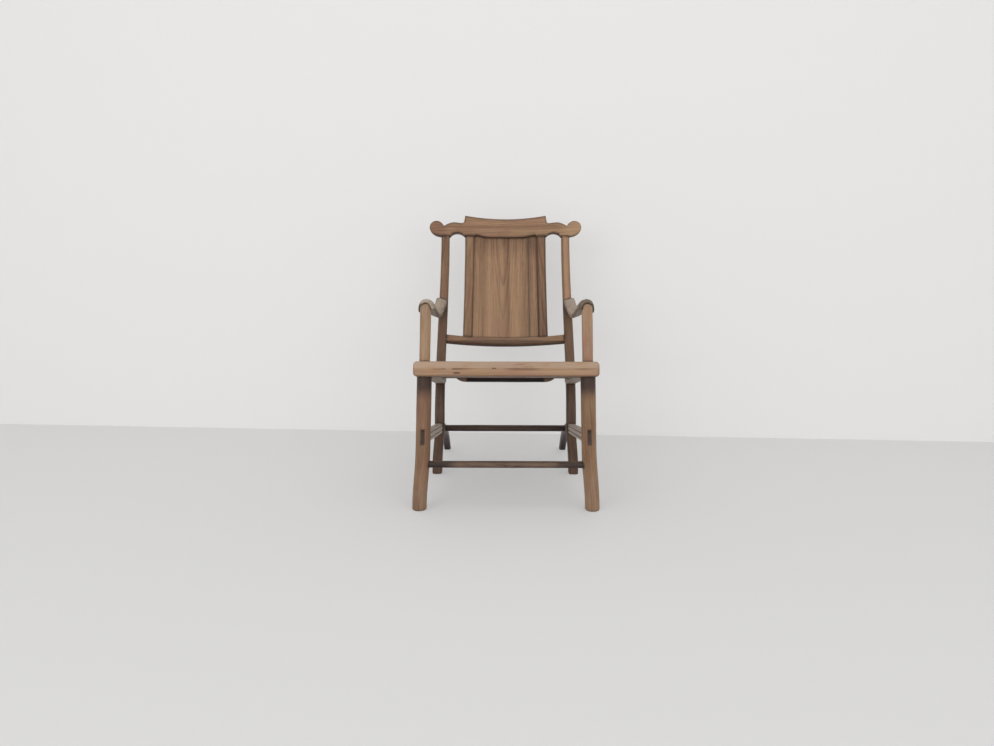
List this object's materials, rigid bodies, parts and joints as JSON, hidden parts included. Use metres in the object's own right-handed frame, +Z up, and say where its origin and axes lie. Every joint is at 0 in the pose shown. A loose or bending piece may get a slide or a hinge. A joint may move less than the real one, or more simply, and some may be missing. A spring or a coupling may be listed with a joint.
{
  "type": "reclining armchair",
  "caption": "Joined hardwood reclining armchair with scrolled crest rail, bowed panel back, serpentine arms, sloping board seat and beaded stretchers wedged through the legs.",
  "frame": {"origin": "on the floor, midway across the chair and midway between its front rail and the back of its crest", "axes": "+Z up, the chair faces -Y, +X to the right as seen from the front"},
  "size_m": [0.6328, 0.8912, 1.0037],
  "materials": {
    "warm_elm": "old waxed elm, worn satin",
    "panel_elm": "old waxed elm boards with open grain",
    "weathered_elm": "greyed elm, worn dry",
    "dark_elm": "dark old lacquer and grime on elm"
  },
  "bodies": {
    "root": {"crest_rail": "warm_elm", "lower_back_rail": "warm_elm", "back_inner_post_left": "warm_elm", "back_inner_post_right": "warm_elm", "back_panel_board_wide": "panel_elm", "back_panel_board_narrow": "panel_elm", "back_stile_left": "warm_elm", "back_stile_right": "warm_elm", "front_leg_left": "warm_elm", "front_leg_right": "warm_elm", "arm_left": "weathered_elm", "arm_right": "weathered_elm", "seat_front_rail": "warm_elm", "seat_side_rail_left": "weathered_elm", "seat_side_rail_right": "weathered_elm", "seat_rear_rail": "dark_elm", "seat_board_1": "panel_elm", "seat_board_2": "panel_elm", "seat_board_3": "panel_elm", "seat_board_4": "panel_elm", "seat_batten_front": "dark_elm", "seat_batten_rear": "dark_elm", "side_stretcher_left": "weathered_elm", "side_stretcher_right": "weathered_elm", "tenon_wedge_left": "dark_elm", "tenon_wedge_right": "dark_elm", "front_stretcher": "dark_elm", "rear_stretcher": "dark_elm", "rear_leg_left": "dark_elm", "rear_leg_right": "dark_elm"}
  },
  "joints": []
}
